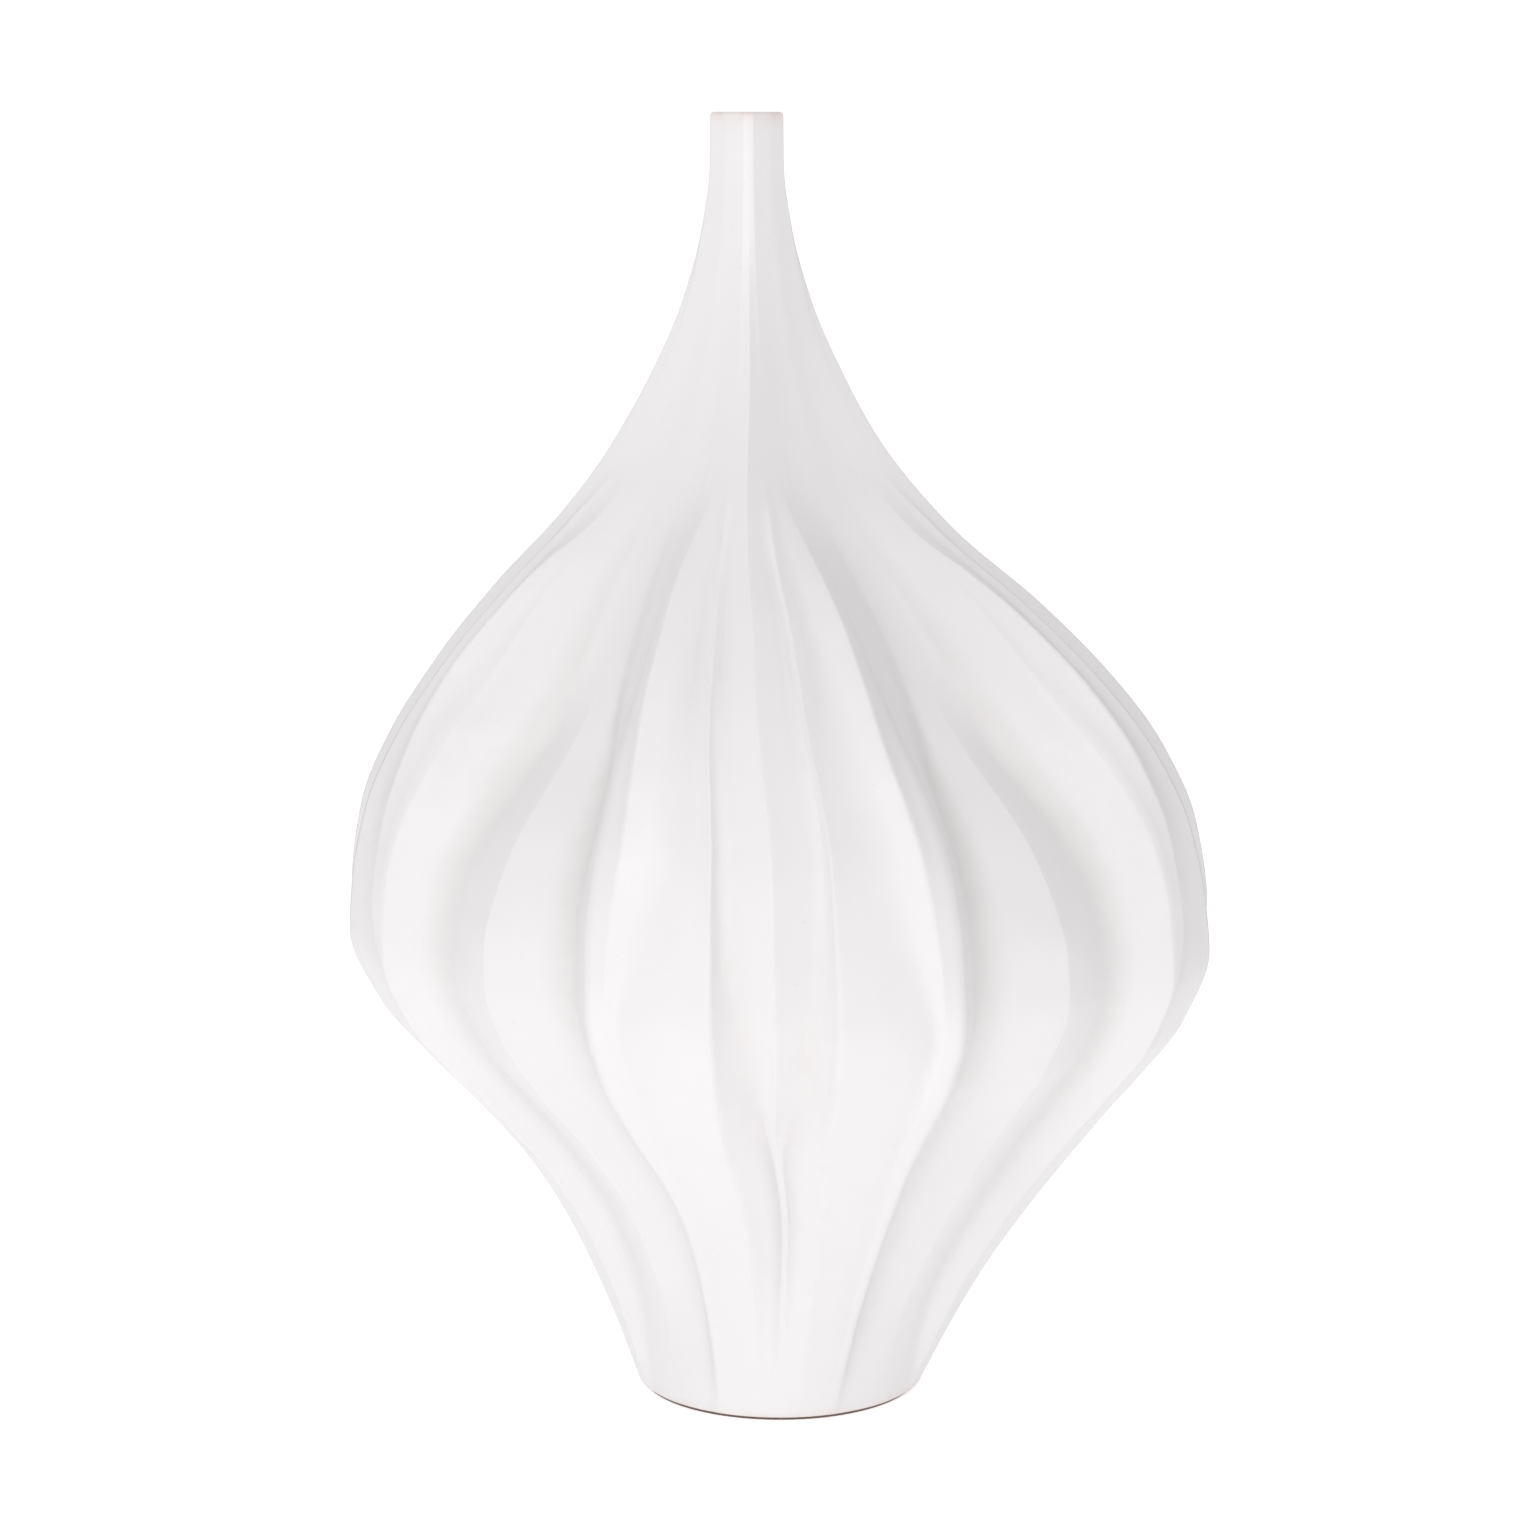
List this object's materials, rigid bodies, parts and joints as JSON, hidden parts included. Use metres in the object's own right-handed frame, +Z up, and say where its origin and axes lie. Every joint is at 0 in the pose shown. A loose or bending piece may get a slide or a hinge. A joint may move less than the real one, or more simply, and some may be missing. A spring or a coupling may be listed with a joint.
{
  "type": "bud vase",
  "caption": "Tall bulb-shaped ceramic bud vase with folded leaf relief, a slim square neck with a round mouth and a felt-covered round foot.",
  "frame": {"origin": "centre of the felt's underside, on the surface that the vase stands on", "axes": "+Z up, the vase's height; -Y is the front, with a leaf crest facing it"},
  "size_m": [0.2395, 0.2395, 0.356],
  "materials": {
    "ceramic": "satin-matte white glaze, thinning to warm clay at the rim",
    "felt": "pressed brown felt"
  },
  "bodies": {
    "root": {"vase_body": "ceramic", "base_felt": "felt"}
  },
  "joints": []
}
